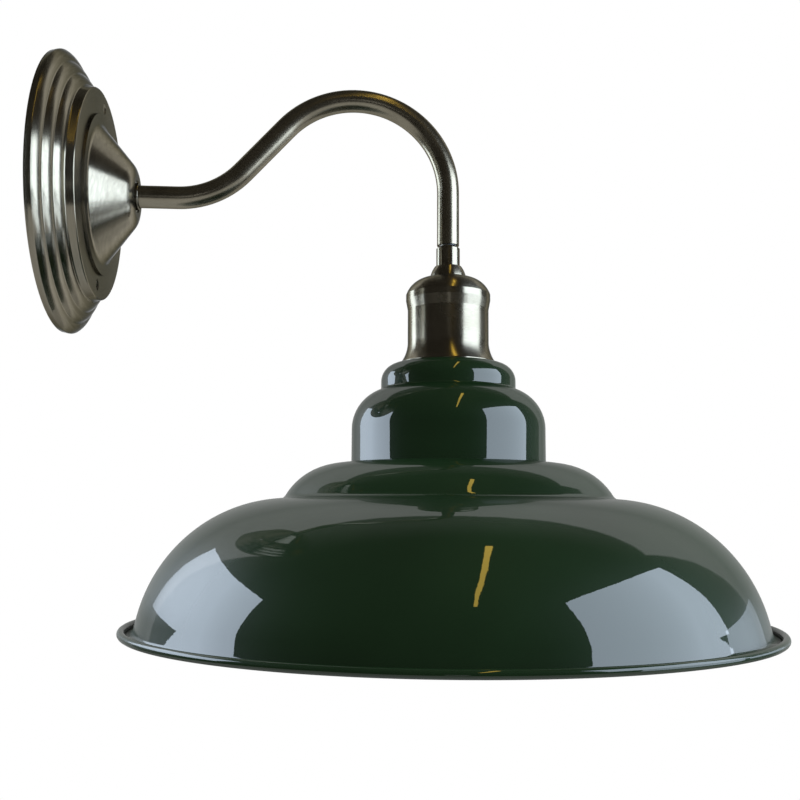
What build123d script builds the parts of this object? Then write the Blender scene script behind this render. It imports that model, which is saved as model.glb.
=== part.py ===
"""Gooseneck wall light: a beaded wall rose, a bent tube arm, a lampholder in a metal
cover, and a stepped enamelled shade that hangs mouth down under it.

Millimetres. The origin is the rose's centre in the wall plane, +X runs out from the
wall along the arm and +Z is up. The lampholder and the shade share one vertical axis.
"""

import math
import os

from build123d import *

os.makedirs("parts", exist_ok=True)

# ---------------------------------------------------------------- driving dimensions

# Wall rose, spun from sheet. Its outline runs from the lip at the wall over three
# convex beads to a flat ring, then over a low step to a cone with a rounded nose.
rose_radius = 80.0
rose_sheet = 1.0
lip_depth = 3.4
lip_bulge = 0.6
lip_run = 0.6
bead_count = 3
bead_bulge = 1.0
beads_rise = 11.8
beads_inset = 18.8
valley_round = 1.2
ring_height = 20.2
ring_inset = 1.0
ring_edge_round = 0.9
step_radius = 46.0
step_height = 1.5
cone_foot_radius = 39.5
cone_foot_round = 3.0
nose_height = 41.0
nose_flat_radius = 12.0
nose_round = 11.0
nose_hole_radius = 9.2
screw_spacing = 105.0
screw_hole_radius = 3.25

# Arm tube
tube_radius = 6.5
root_straight = 23.23
rise_angle = 47.8
rise_radius = 50.0
rise_run = 37.2
arch_radius = 55.0
arm_drop = 25.0

# Threaded hollow nipples in both ends of the arm's tube, and the nuts on them
nipple_radius = 5.0
nipple_bore = 3.8
root_nipple_in_rose = 13.0
root_nipple_in_tube = 11.0
holder_nipple_in_tube = 16.0
holder_nipple_past_bridge = 1.5
nut_width = 14.0
nut_height = 4.0
nipple_clearance = 0.1
thread_clearance = 0.08

# Arm root, seen in the nose of the rose
ferrule_radius = 7.9
ferrule_length = 2.4
ferrule_seat = 1.0
root_washer_thickness = 1.5
root_washer_clearance = 0.2
lock_washer_thickness = 0.8
lock_washer_radius = 7.4
lock_tooth_length = 1.4
lock_tooth_width = 1.6
lock_tooth_count = 10

# Lampholder cover, from the arm's end down
collar_gap = 1.2
collar_radius = 6.9
collar_length = 11.7
collar_chamfer = 0.8
bell_height = 7.0
bell_top_radius = 7.9
bell_shoulder_radius = 9.3
bell_radius = 10.6
cover_sheet = 1.0
dome_height = 11.1
cover_radius = 24.6
dome_round_inset = 3.9
dome_round_drop = 3.8
dome_skirt = 1.2
seam_overlap = 2.0
seam_clearance = 0.3
bead_depth = 2.3
pinch_depth = 8.0
pinch_inset = 1.05
sleeve_length = 39.8
flare_height = 14.3
flare_mid_spread = 1.05
flare_mid_height = 6.6
flare_spread = 4.05
flare_lip = 0.8

# Lampholder inside the cover
bridge_thickness = 1.5
bridge_width = 14.0
bridge_leg_inside = 11.0
bridge_foot_length = 5.5
core_below_dome_top = 18.1
core_radius = 19.6
core_length = 51.0
core_base = 21.0
core_screw_radius = 1.5
core_screw_head_radius = 2.4
core_screw_head_height = 1.8
core_screw_depth = 8.0
lead_terminal_offset = 12.5
lead_terminal_side = 6.0
lead_terminal_height = 7.5
lead_screw_radius = 1.5
lead_screw_head_radius = 2.3
lead_screw_head_height = 1.5
lead_screw_depth = 2.2
shell_inner_radius = 13.5
shell_sheet = 0.4
shell_clearance = 0.1
shell_length = 20.0
shell_flange_gap = 0.3
contact_well_depth = 6.0
contact_foot_near = 4.5
contact_foot_far = 8.3
contact_foot_drop = 2.0
contact_width = 5.0
contact_sheet = 0.5
contact_drop = 0.3
contact_pad_drop = 4.2
contact_knee = 0.8
contact_pad_reach = 3.0

# Shade, spun from sheet: a flat top, two upright steps, a sloping third step, the bowl,
# a gutter and a rim whose edge is rolled over a wire.
shade_radius = 180.0
shade_sheet = 0.9
neck_clearance = 0.6
tier_1_radius = 38.8
tier_1_round = 10.1
tier_1_wall = 5.1
tier_2_radius = 55.5
tier_2_round = 23.5
tier_2_wall = 20.7
tier_3_centre_offset = 5.5
tier_3_round = 36.4
tier_3_spread = 37.1
bowl_step = 1.5
bowl_centre_inset = 1.4
bowl_foot_angle = 13.5
crease_round = 1.6
gutter_sweep_width = 1.4
gutter_sweep_drop = 6.3
gutter_width = 3.4
gutter_depth = 3.6
rim_width = 5.1
rim_bead_radius = 2.1

# Threaded ring that clamps the shade up against the cover
shade_ring_radius = 26.5
shade_ring_height = 8.0
shade_ring_notch_radius = 1.6
shade_ring_notch_count = 12

# Terminal block inside the rose, and the three leads that run through the arm
block_edge_gap = 4.0
block_depth = 11.0
block_width = 24.0
block_height = 13.0
way_pitch = 8.0
way_height = 6.5
insert_radius = 2.6
insert_inset = 1.0
block_screw_radius = 1.3
block_screw_spacing = 5.0
block_screw_recess = 0.8
lead_radius = 1.1
lead_side = 1.3
lead_low = -0.75
lead_high = 1.5
lead_in_way = 5.0
lead_straight = 6.0
lead_gather = 18.0
lead_entry_radius = 8.3
lead_gather_radius = 12.0
lead_exit_radius = 4.5
lead_exit_height = 3.5
earth_exit_drop = 7.5

# ---------------------------------------------------------------- levels and planes

# Along the arm's root, measured out from the wall
nose_inside = nose_height - rose_sheet
root_washer_x = nose_inside - root_washer_thickness
lock_washer_x = root_washer_x - lock_washer_thickness
root_nut_x = lock_washer_x - nut_height
root_nipple_x = nose_inside - root_nipple_in_rose
tube_start_x = nose_inside + ferrule_seat
tube_bore = nipple_radius + nipple_clearance
root_washer_radius = nose_flat_radius - root_washer_clearance

# Along the arm: a straight root, the first bend, the rise, and the arch that turns
# from the rise to straight down. Together they set how far the lamp axis stands out.
turn_up = math.radians(rise_angle)
bend_start_x = tube_start_x + root_straight
touch_x = bend_start_x + rise_radius * math.sin(turn_up) + rise_run * math.cos(turn_up)
touch_z = rise_radius * (1 - math.cos(turn_up)) + rise_run * math.sin(turn_up)
arch_z = touch_z - arch_radius * math.cos(turn_up)
arm_reach = touch_x + arch_radius * (1 + math.sin(turn_up))

# Down the lamp axis
tube_end_z = -arm_drop
collar_top_z = tube_end_z - collar_gap
bell_top_z = collar_top_z - collar_length
dome_top_z = bell_top_z - bell_height
holder_nut_z = dome_top_z - cover_sheet - nut_height
bridge_top_z = holder_nut_z
bridge_low_z = bridge_top_z - bridge_thickness
holder_nipple_low_z = bridge_low_z - holder_nipple_past_bridge
seam_z = dome_top_z - dome_height
core_top_z = dome_top_z - core_below_dome_top
core_low_z = core_top_z - core_length
socket_ceiling_z = core_top_z - core_base
socket_ledge_z = socket_ceiling_z - contact_well_depth
shade_top_z = seam_z - sleeve_length
shade_ring_top_z = shade_top_z - shade_sheet

wall_plane = Plane.YZ
lamp_plane = Plane(origin=(arm_reach, 0, 0), x_dir=(1, 0, 0), z_dir=(0, -1, 0))
arm_axis = Axis.X
lamp_axis = Axis((arm_reach, 0, 0), (0, 0, 1))


def lamp_level(z):
    """Horizontal plane across the lamp axis at height z."""
    return Plane(origin=(arm_reach, 0, z), x_dir=(1, 0, 0), z_dir=(0, 0, 1))


def finish(piece, name):
    """Label a finished piece and write its STEP file."""
    piece.part.label = name
    export_step(piece.part, f"parts/{name}.step")


# ---------------------------------------------------------------- wall rose

# The outline is drawn with local x out from the wall and local y as the radius.
valleys = []
for k in range(bead_count + 1):
    share = k / bead_count
    valleys.append((lip_depth + beads_rise * share, rose_radius - beads_inset * share))

ring_radius = valleys[-1][1] - ring_inset

# The cone's flank is the tangent from its foot to the round of the nose.
cone_foot = (ring_height + step_height, cone_foot_radius)
nose_centre = (nose_height - nose_round, nose_flat_radius)
foot_dx = cone_foot[0] - nose_centre[0]
foot_dr = cone_foot[1] - nose_centre[1]
flank_angle = math.atan2(foot_dr, foot_dx) - math.acos(nose_round / math.hypot(foot_dx, foot_dr))
flank_end = (
    nose_centre[0] + nose_round * math.cos(flank_angle),
    nose_centre[1] + nose_round * math.sin(flank_angle),
)
nose_round_middle = (
    nose_centre[0] + nose_round * math.cos(flank_angle / 2),
    nose_centre[1] + nose_round * math.sin(flank_angle / 2),
)

with BuildPart() as wall_rose:
    with BuildSketch(Plane.XY) as rose_section:
        with BuildLine():
            Line((0, rose_radius - lip_bulge), (lip_run, rose_radius - lip_bulge))
            SagittaArc((lip_run, rose_radius - lip_bulge), valleys[0], lip_bulge / 4)
            for inner, outer in zip(valleys, valleys[1:]):
                SagittaArc(inner, outer, bead_bulge)
            Polyline(
                valleys[-1],
                (ring_height, ring_radius),
                (ring_height, step_radius),
                (ring_height + step_height, step_radius),
                cone_foot,
                flank_end,
            )
            ThreePointArc(flank_end, nose_round_middle, (nose_height, nose_flat_radius))
            Line((nose_height, nose_flat_radius), (nose_height, nose_hole_radius))
            offset(amount=rose_sheet, side=Side.RIGHT)
        make_face()
        for valley in valleys:
            bead_corner = rose_section.vertices().sort_by_distance(valley)[0]
            fillet(bead_corner, valley_round)
        ring_edge = rose_section.vertices().sort_by_distance((ring_height, ring_radius))[0]
        fillet(ring_edge, ring_edge_round)
        cone_foot_corner = rose_section.vertices().sort_by_distance(cone_foot)[0]
        fillet(cone_foot_corner, cone_foot_round)
    revolve(axis=arm_axis)
    with BuildSketch(wall_plane):
        with GridLocations(0, screw_spacing, 1, 2):
            Circle(screw_hole_radius)
    extrude(amount=nose_height, mode=Mode.SUBTRACT)
finish(wall_rose, "wall_rose")

# ---------------------------------------------------------------- arm


def arm_corners(high, side):
    """Corners and rounds of a route along the arm, moved to the upper side by `high`
    and along Y by `side`."""
    low_x = bend_start_x + (rise_radius - high) * math.tan(turn_up / 2)
    peak_z = arch_z + (arch_radius + high) * math.tan(math.pi / 4 + turn_up / 2)
    corners = [(low_x, side, high), (arm_reach + high, side, peak_z)]
    return corners, [rise_radius - high, arch_radius + high]


tube_corners, tube_rounds = arm_corners(0, 0)

with BuildPart() as arm_tube:
    with BuildLine() as tube_route:
        FilletPolyline(
            (tube_start_x, 0, 0), *tube_corners, (arm_reach, 0, tube_end_z), radius=tube_rounds
        )
    with BuildSketch(Plane(origin=(tube_start_x, 0, 0), z_dir=(1, 0, 0))):
        Circle(tube_radius)
        Circle(tube_bore, mode=Mode.SUBTRACT)
    sweep()
finish(arm_tube, "arm_tube")

# The ferrule stands in the nose's hole and seats the tube's end.
with BuildPart() as root_ferrule:
    with BuildSketch(wall_plane.offset(nose_inside)):
        Circle(ferrule_radius)
        Circle(nipple_radius, mode=Mode.SUBTRACT)
    extrude(amount=ferrule_length)
    with BuildSketch(wall_plane.offset(tube_start_x)):
        Circle(tube_radius)
    extrude(amount=ferrule_length, mode=Mode.SUBTRACT)
    rim = root_ferrule.edges().filter_by(GeomType.CIRCLE).group_by(Axis.X)[-1].sort_by(SortBy.RADIUS)[-1]
    fillet(rim, ferrule_seat / 3)
finish(root_ferrule, "root_ferrule")

with BuildPart() as root_washer:
    with BuildSketch(wall_plane.offset(root_washer_x)):
        Circle(root_washer_radius)
        Circle(nipple_radius, mode=Mode.SUBTRACT)
    extrude(amount=root_washer_thickness)
finish(root_washer, "root_washer")

with BuildPart() as lock_washer:
    with BuildSketch(wall_plane.offset(lock_washer_x)):
        Circle(lock_washer_radius)
        with PolarLocations(lock_washer_radius, lock_tooth_count):
            Rectangle(2 * lock_tooth_length, lock_tooth_width)
        Circle(nipple_radius, mode=Mode.SUBTRACT)
    extrude(amount=lock_washer_thickness)
finish(lock_washer, "lock_washer")

with BuildPart() as root_nut:
    with BuildSketch(wall_plane.offset(root_nut_x)):
        RegularPolygon(nut_width / 2, side_count=6, major_radius=False)
        Circle(nipple_radius, mode=Mode.SUBTRACT)
    extrude(amount=nut_height)
finish(root_nut, "root_nut")

with BuildPart() as root_nipple:
    with BuildSketch(wall_plane.offset(root_nipple_x)):
        Circle(nipple_radius)
        Circle(nipple_bore, mode=Mode.SUBTRACT)
    extrude(amount=tube_start_x + root_nipple_in_tube - root_nipple_x)
finish(root_nipple, "root_nipple")

# ---------------------------------------------------------------- lampholder cover

with BuildPart() as holder_nipple:
    with BuildSketch(lamp_level(holder_nipple_low_z)):
        Circle(nipple_radius)
        Circle(nipple_bore, mode=Mode.SUBTRACT)
    extrude(amount=tube_end_z + holder_nipple_in_tube - holder_nipple_low_z)
finish(holder_nipple, "holder_nipple")

with BuildPart() as end_collar:
    with BuildSketch(lamp_level(bell_top_z)):
        Circle(collar_radius)
        Circle(nipple_radius, mode=Mode.SUBTRACT)
    extrude(amount=collar_length)
    collar_rim = end_collar.edges().filter_by(GeomType.CIRCLE).group_by()[-1].sort_by(SortBy.RADIUS)[-1]
    chamfer(collar_rim, collar_chamfer)
finish(end_collar, "end_collar")

with BuildPart() as bell_cap:
    with BuildSketch(lamp_plane):
        with BuildLine():
            Line((nipple_radius, dome_top_z), (nipple_radius, bell_top_z))
            Line((nipple_radius, bell_top_z), (bell_top_radius, bell_top_z))
            ThreePointArc(
                (bell_top_radius, bell_top_z),
                (bell_shoulder_radius, bell_top_z - bell_height / 3),
                (bell_radius, dome_top_z),
            )
            Line((bell_radius, dome_top_z), (nipple_radius, dome_top_z))
        make_face()
    revolve(axis=lamp_axis)
finish(bell_cap, "bell_cap")

# The dome is a spun cap; its turned-in lip slips inside the sleeve below the seam.
lip_outer = cover_radius - cover_sheet - seam_clearance
with BuildPart() as holder_dome:
    with BuildSketch(lamp_plane):
        with BuildLine():
            Line((nipple_radius, dome_top_z), (bell_radius, dome_top_z))
            ThreePointArc(
                (bell_radius, dome_top_z),
                (cover_radius - dome_round_inset, dome_top_z - dome_round_drop),
                (cover_radius, seam_z + dome_skirt),
            )
            Line((cover_radius, seam_z + dome_skirt), (cover_radius, seam_z))
            offset(amount=cover_sheet, side=Side.RIGHT)
        make_face()
        with BuildLine():
            Polyline(
                (lip_outer - cover_sheet, seam_z + cover_sheet),
                (cover_radius - cover_sheet / 2, seam_z + cover_sheet),
                (cover_radius - cover_sheet / 2, seam_z),
                (lip_outer, seam_z),
                (lip_outer, seam_z - seam_overlap),
                (lip_outer - cover_sheet, seam_z - seam_overlap),
                close=True,
            )
        make_face()
    revolve(axis=lamp_axis)
finish(holder_dome, "holder_dome")

sleeve_radius = cover_radius - pinch_inset
flare_mid_radius = sleeve_radius + flare_mid_spread
flare_radius = sleeve_radius + flare_spread
with BuildPart() as holder_sleeve:
    with BuildSketch(lamp_plane):
        with BuildLine():
            Polyline(
                (cover_radius, seam_z),
                (cover_radius, seam_z - bead_depth),
                (sleeve_radius, seam_z - pinch_depth),
                (sleeve_radius, shade_top_z + flare_height),
            )
            ThreePointArc(
                (sleeve_radius, shade_top_z + flare_height),
                (flare_mid_radius, shade_top_z + flare_mid_height),
                (flare_radius, shade_top_z + flare_lip),
            )
            Line((flare_radius, shade_top_z + flare_lip), (flare_radius, shade_top_z))
            offset(amount=cover_sheet, side=Side.RIGHT)
        make_face()
    revolve(axis=lamp_axis)
finish(holder_sleeve, "holder_sleeve")

# ---------------------------------------------------------------- lampholder inside

with BuildPart() as holder_nut:
    with BuildSketch(lamp_level(holder_nut_z)):
        RegularPolygon(nut_width / 2, side_count=6, major_radius=False)
        Circle(nipple_radius, mode=Mode.SUBTRACT)
    extrude(amount=nut_height)
finish(holder_nut, "holder_nut")

# The bridge is a bent strap: its top plate hangs on the nipple and its feet stand on
# the ceramic core.
bridge_outside = bridge_leg_inside + bridge_thickness
core_screw_offset = bridge_outside + bridge_foot_length / 2
with BuildPart() as holder_bridge:
    with BuildSketch(lamp_plane):
        with BuildLine():
            Polyline(
                (-bridge_outside - bridge_foot_length, core_top_z),
                (-bridge_leg_inside, core_top_z),
                (-bridge_leg_inside, bridge_low_z),
                (bridge_leg_inside, bridge_low_z),
                (bridge_leg_inside, core_top_z),
                (bridge_outside + bridge_foot_length, core_top_z),
                (bridge_outside + bridge_foot_length, core_top_z + bridge_thickness),
                (bridge_outside, core_top_z + bridge_thickness),
                (bridge_outside, bridge_top_z),
                (-bridge_outside, bridge_top_z),
                (-bridge_outside, core_top_z + bridge_thickness),
                (-bridge_outside - bridge_foot_length, core_top_z + bridge_thickness),
                close=True,
            )
        make_face()
    extrude(amount=bridge_width / 2, both=True)
    with BuildSketch(lamp_level(core_top_z)):
        Circle(nipple_radius)
        with GridLocations(2 * core_screw_offset, 0, 2, 1):
            Circle(core_screw_radius)
    extrude(amount=core_below_dome_top, mode=Mode.SUBTRACT)
finish(holder_bridge, "holder_bridge")

with BuildPart() as core_screws:
    with BuildSketch(lamp_level(core_top_z - core_screw_depth)):
        with GridLocations(2 * core_screw_offset, 0, 2, 1):
            Circle(core_screw_radius)
    extrude(amount=core_screw_depth + bridge_thickness)
    with BuildSketch(lamp_level(core_top_z + bridge_thickness)):
        with GridLocations(2 * core_screw_offset, 0, 2, 1):
            Circle(core_screw_head_radius)
    extrude(amount=core_screw_head_height)
finish(core_screws, "core_screws")

# A ledge in the core's bore carries the shell; the well above it holds the contact.
shell_outer_radius = shell_inner_radius + shell_sheet
shell_flange_inner = math.hypot(contact_foot_far, contact_width / 2) + shell_flange_gap
with BuildPart() as holder_core:
    with BuildSketch(lamp_level(core_low_z)):
        Circle(core_radius)
    extrude(amount=core_length)
    with BuildSketch(lamp_level(core_low_z)):
        Circle(shell_outer_radius + shell_clearance)
    extrude(amount=socket_ledge_z - core_low_z, mode=Mode.SUBTRACT)
    with BuildSketch(lamp_level(socket_ledge_z)):
        Circle(shell_flange_inner)
    extrude(amount=contact_well_depth, mode=Mode.SUBTRACT)
    with BuildSketch(lamp_level(core_top_z)):
        with GridLocations(2 * core_screw_offset, 0, 2, 1):
            Circle(core_screw_radius)
    extrude(amount=-core_screw_depth, mode=Mode.SUBTRACT)
finish(holder_core, "holder_core")

# Two brass blocks on the core take the live and the neutral lead.
with BuildPart() as lead_terminals:
    with BuildSketch(lamp_level(core_top_z)):
        with GridLocations(0, 2 * lead_terminal_offset, 1, 2):
            Rectangle(lead_terminal_side, lead_terminal_side)
    extrude(amount=lead_terminal_height)
    with BuildSketch(lamp_level(core_top_z + lead_terminal_height)):
        with GridLocations(0, 2 * lead_terminal_offset, 1, 2):
            Circle(lead_screw_radius)
    extrude(amount=-lead_screw_depth, mode=Mode.SUBTRACT)
finish(lead_terminals, "lead_terminals")

with BuildPart() as lead_screws:
    with BuildSketch(lamp_level(core_top_z + lead_terminal_height - lead_screw_depth)):
        with GridLocations(0, 2 * lead_terminal_offset, 1, 2):
            Circle(lead_screw_radius)
    extrude(amount=lead_screw_depth)
    with BuildSketch(lamp_level(core_top_z + lead_terminal_height)):
        with GridLocations(0, 2 * lead_terminal_offset, 1, 2):
            Circle(lead_screw_head_radius)
    extrude(amount=lead_screw_head_height)
finish(lead_screws, "lead_screws")

with BuildPart() as screw_shell:
    with BuildSketch(lamp_level(socket_ledge_z)):
        Circle(shell_outer_radius)
        Circle(shell_flange_inner, mode=Mode.SUBTRACT)
    extrude(amount=-shell_sheet)
    with BuildSketch(lamp_level(socket_ledge_z)):
        Circle(shell_outer_radius)
        Circle(shell_inner_radius, mode=Mode.SUBTRACT)
    extrude(amount=-shell_length)
finish(screw_shell, "screw_shell")

with BuildPart() as contact_foot:
    with BuildSketch(lamp_plane):
        with Locations(((contact_foot_near + contact_foot_far) / 2, socket_ceiling_z)):
            Rectangle(
                contact_foot_far - contact_foot_near,
                contact_foot_drop,
                align=(Align.CENTER, Align.MAX),
            )
    extrude(amount=contact_width / 2, both=True)
finish(contact_foot, "contact_foot")

# The leaf runs down from beside its foot to a flat pad under the lamp cap's centre.
leaf_top_z = socket_ceiling_z - contact_drop
pad_z = socket_ceiling_z - contact_pad_drop
with BuildPart() as centre_contact:
    with BuildSketch(lamp_plane):
        with BuildLine():
            Polyline(
                (contact_foot_near, leaf_top_z),
                (contact_foot_near, leaf_top_z - 2 * contact_sheet),
                (contact_knee, pad_z - contact_sheet),
                (-contact_pad_reach, pad_z - contact_sheet),
                (-contact_pad_reach, pad_z),
                (contact_knee, pad_z),
                close=True,
            )
        make_face()
    extrude(amount=contact_width / 2, both=True)
finish(centre_contact, "centre_contact")

# ---------------------------------------------------------------- shade and its ring


def arc_centre(start, centre_radius, radius):
    """Centre of an outline's arc that starts at a point and lies above its centre."""
    across = start[0] - centre_radius
    return (centre_radius, start[1] - math.sqrt(radius**2 - across**2))


def arc_middle(centre, radius, start, end):
    """Point half way round an outline's arc."""
    along_r = start[0] + end[0] - 2 * centre[0]
    along_z = start[1] + end[1] - 2 * centre[1]
    stretch = radius / math.hypot(along_r, along_z)
    return (centre[0] + stretch * along_r, centre[1] + stretch * along_z)


neck_radius = core_radius + neck_clearance
tier_1_top = (tier_1_radius - tier_1_round, shade_top_z)
tier_1_shoulder = (tier_1_radius, shade_top_z - tier_1_round)

tier_2_start = (tier_1_radius, tier_1_shoulder[1] - tier_1_wall)
tier_2_centre = arc_centre(tier_2_start, tier_2_radius - tier_2_round, tier_2_round)
tier_2_shoulder = (tier_2_radius, tier_2_centre[1])

tier_3_start = (tier_2_radius, tier_2_shoulder[1] - tier_2_wall)
tier_3_centre = arc_centre(tier_3_start, tier_2_radius + tier_3_centre_offset, tier_3_round)
tier_3_foot_radius = tier_2_radius + tier_3_spread
tier_3_fall = math.sqrt(tier_3_round**2 - (tier_3_foot_radius - tier_3_centre[0]) ** 2)
tier_3_end = (tier_3_foot_radius, tier_3_centre[1] + tier_3_fall)

# The bowl's arc runs from the foot of the third step to the gutter at its own slope.
bowl_start = (tier_3_foot_radius + crease_round, tier_3_end[1] - bowl_step)
bowl_foot_radius = shade_radius - rim_width - gutter_width - gutter_sweep_width
bowl_centre_radius = tier_3_foot_radius - bowl_centre_inset
bowl_slope = math.radians(bowl_foot_angle)
bowl_round = (bowl_foot_radius - bowl_centre_radius) / math.cos(bowl_slope)
bowl_centre = arc_centre(bowl_start, bowl_centre_radius, bowl_round)
bowl_end = (bowl_foot_radius, bowl_centre[1] + bowl_round * math.sin(bowl_slope))

gutter_side = (bowl_end[0] + gutter_sweep_width, bowl_end[1] - gutter_sweep_drop)
gutter_floor = (gutter_side[0] + gutter_width, gutter_side[1] - gutter_depth)
# The bead stands on the same level as the gutter's underside.
rim_bead = (shade_radius - rim_bead_radius, gutter_floor[1] - shade_sheet + rim_bead_radius)

with BuildPart() as shade:
    with BuildSketch(lamp_plane) as shade_section:
        with BuildLine():
            Line((neck_radius, shade_top_z), tier_1_top)
            RadiusArc(tier_1_top, tier_1_shoulder, tier_1_round)
            Line(tier_1_shoulder, tier_2_start)
            tier_2_middle = arc_middle(tier_2_centre, tier_2_round, tier_2_start, tier_2_shoulder)
            ThreePointArc(tier_2_start, tier_2_middle, tier_2_shoulder)
            Line(tier_2_shoulder, tier_3_start)
            tier_3_middle = arc_middle(tier_3_centre, tier_3_round, tier_3_start, tier_3_end)
            ThreePointArc(tier_3_start, tier_3_middle, tier_3_end)
            Line(tier_3_end, bowl_start)
            bowl_middle = arc_middle(bowl_centre, bowl_round, bowl_start, bowl_end)
            ThreePointArc(bowl_start, bowl_middle, bowl_end)
            ThreePointArc(bowl_end, gutter_side, gutter_floor)
            Line(gutter_floor, (rim_bead[0], gutter_floor[1]))
            offset(amount=shade_sheet, side=Side.RIGHT)
        make_face()
        for crease in (tier_2_start, tier_3_start):
            fillet(shade_section.vertices().sort_by_distance(crease)[0], crease_round)
        with Locations(rim_bead):
            Circle(rim_bead_radius)
    revolve(axis=lamp_axis)
finish(shade, "shade")

with BuildPart() as shade_ring:
    with BuildSketch(lamp_level(shade_ring_top_z)):
        Circle(shade_ring_radius)
        with PolarLocations(shade_ring_radius, shade_ring_notch_count):
            Circle(shade_ring_notch_radius, mode=Mode.SUBTRACT)
        Circle(core_radius + thread_clearance, mode=Mode.SUBTRACT)
    extrude(amount=-shade_ring_height)
finish(shade_ring, "shade_ring")

# ---------------------------------------------------------------- wiring

# The block sits on the back of the flat ring, beside the cone. Its ways run along Y.
block_top_x = ring_height - rose_sheet
block_low_x = block_top_x - block_height
block_near = ring_radius - block_edge_gap - block_depth
way_x = block_top_x - way_height
block_middle_y = block_near + block_depth / 2
way_heights = [way_pitch * k for k in (-1, 0, 1)]
screw_spots = [
    (block_middle_y + side * block_screw_spacing / 2, z) for side in (-1, 1) for z in way_heights
]
insert_start_y = block_near + insert_inset
insert_length = block_depth - 2 * insert_inset
way_plane = Plane(origin=(way_x, insert_start_y, 0), x_dir=(1, 0, 0), z_dir=(0, 1, 0))
way_spots = [(0, -z) for z in way_heights]

with BuildPart() as terminal_block:
    with BuildSketch(wall_plane.offset(block_low_x)):
        with Locations((block_middle_y, 0)):
            Rectangle(block_depth, block_width)
    extrude(amount=block_height)
    with BuildSketch(way_plane.offset(-insert_inset)):
        with Locations(*way_spots):
            Circle(insert_radius)
    extrude(amount=block_depth, mode=Mode.SUBTRACT)
    with BuildSketch(wall_plane.offset(block_low_x)):
        with Locations(*screw_spots):
            Circle(block_screw_radius)
    extrude(amount=way_x - block_low_x, mode=Mode.SUBTRACT)
finish(terminal_block, "terminal_block")

with BuildPart() as block_inserts:
    with BuildSketch(way_plane):
        with Locations(*way_spots):
            Circle(insert_radius)
            Circle(lead_radius, mode=Mode.SUBTRACT)
    extrude(amount=insert_length)
    with BuildSketch(wall_plane.offset(block_low_x)):
        with Locations(*screw_spots):
            Circle(block_screw_radius)
    extrude(amount=way_x - block_low_x, mode=Mode.SUBTRACT)
finish(block_inserts, "block_inserts")

with BuildPart() as block_screws:
    with BuildSketch(wall_plane.offset(block_low_x + block_screw_recess)):
        with Locations(*screw_spots):
            Circle(block_screw_radius)
    extrude(amount=way_x - lead_radius - block_low_x - block_screw_recess)
finish(block_screws, "block_screws")


def lead_route(way_z, high, side, tail, tail_rounds):
    """Corners and rounds of a lead: out of its way in the block, round into the root
    nipple, along the arm and down through the holder nipple to its own tail."""
    turn_x = way_x + side
    corners, rounds = arm_corners(high, side)
    points = [
        (way_x, insert_start_y + lead_in_way, way_z),
        (way_x, block_near - lead_straight, way_z),
        (turn_x, lead_gather, high),
        (turn_x, side, high),
        *corners,
        *tail,
    ]
    gather = [lead_gather_radius, lead_gather_radius, lead_entry_radius - side]
    return points, gather + rounds + tail_rounds


def lead_tube(points, radii):
    """Round insulated lead swept along its route."""
    with BuildPart() as lead:
        with BuildLine():
            FilletPolyline(*points, radius=radii)
        with BuildSketch(Plane(origin=points[0], z_dir=(0, -1, 0))):
            Circle(lead_radius)
        sweep()
    return lead


exit_z = core_top_z + lead_exit_height
terminal_face = lead_terminal_offset - lead_terminal_side / 2
for name, way_z, side in (("live_lead", way_heights[0], lead_side), ("neutral_lead", way_heights[1], -lead_side)):
    sideways = math.copysign(1, side)
    exit_x = arm_reach + lead_low
    tail_points = [(exit_x, side, exit_z), (exit_x, sideways * terminal_face, exit_z)]
    route, route_rounds = lead_route(way_z, lead_low, side, tail_points, [lead_exit_radius])
    finish(lead_tube(route, route_rounds), name)

earth_z = bridge_low_z - earth_exit_drop
earth_tail = [(arm_reach + lead_high, 0, earth_z), (arm_reach + bridge_leg_inside, 0, earth_z)]
route, route_rounds = lead_route(way_heights[2], lead_high, 0, earth_tail, [lead_exit_radius])
finish(lead_tube(route, route_rounds), "earth_lead")
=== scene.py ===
import math

import bmesh
import bpy
from mathutils import Matrix, Vector


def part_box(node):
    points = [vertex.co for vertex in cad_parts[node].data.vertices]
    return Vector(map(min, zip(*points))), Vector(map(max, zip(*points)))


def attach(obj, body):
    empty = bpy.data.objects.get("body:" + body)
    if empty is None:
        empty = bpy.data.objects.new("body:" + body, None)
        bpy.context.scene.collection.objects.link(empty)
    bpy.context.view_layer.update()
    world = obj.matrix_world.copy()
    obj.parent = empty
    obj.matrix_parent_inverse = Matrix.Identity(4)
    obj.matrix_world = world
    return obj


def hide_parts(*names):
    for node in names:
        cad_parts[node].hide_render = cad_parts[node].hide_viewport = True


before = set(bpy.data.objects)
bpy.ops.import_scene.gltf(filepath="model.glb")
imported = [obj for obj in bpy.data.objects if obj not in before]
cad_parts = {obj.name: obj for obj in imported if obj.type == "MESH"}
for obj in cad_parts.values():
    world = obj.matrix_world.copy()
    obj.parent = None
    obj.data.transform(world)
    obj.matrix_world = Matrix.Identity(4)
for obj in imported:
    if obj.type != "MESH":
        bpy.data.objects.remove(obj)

for leftover in ("Cube", "Light", "Camera"):
    if leftover in bpy.data.objects:
        bpy.data.objects.remove(bpy.data.objects[leftover])
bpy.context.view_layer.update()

# ---------------------------------------------------------------- wall rose
# The rose is spun from one disc of sheet steel and plated in a dark satin nickel. The
# tool and the brushing leave fine rings round its axis, which draw each highlight out
# into a bar across them.

# The satin finish and its lacquer keep the metal from brightening at a glancing angle.
dulled_edge = (0.2, 0.21, 0.215, 1)


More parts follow.
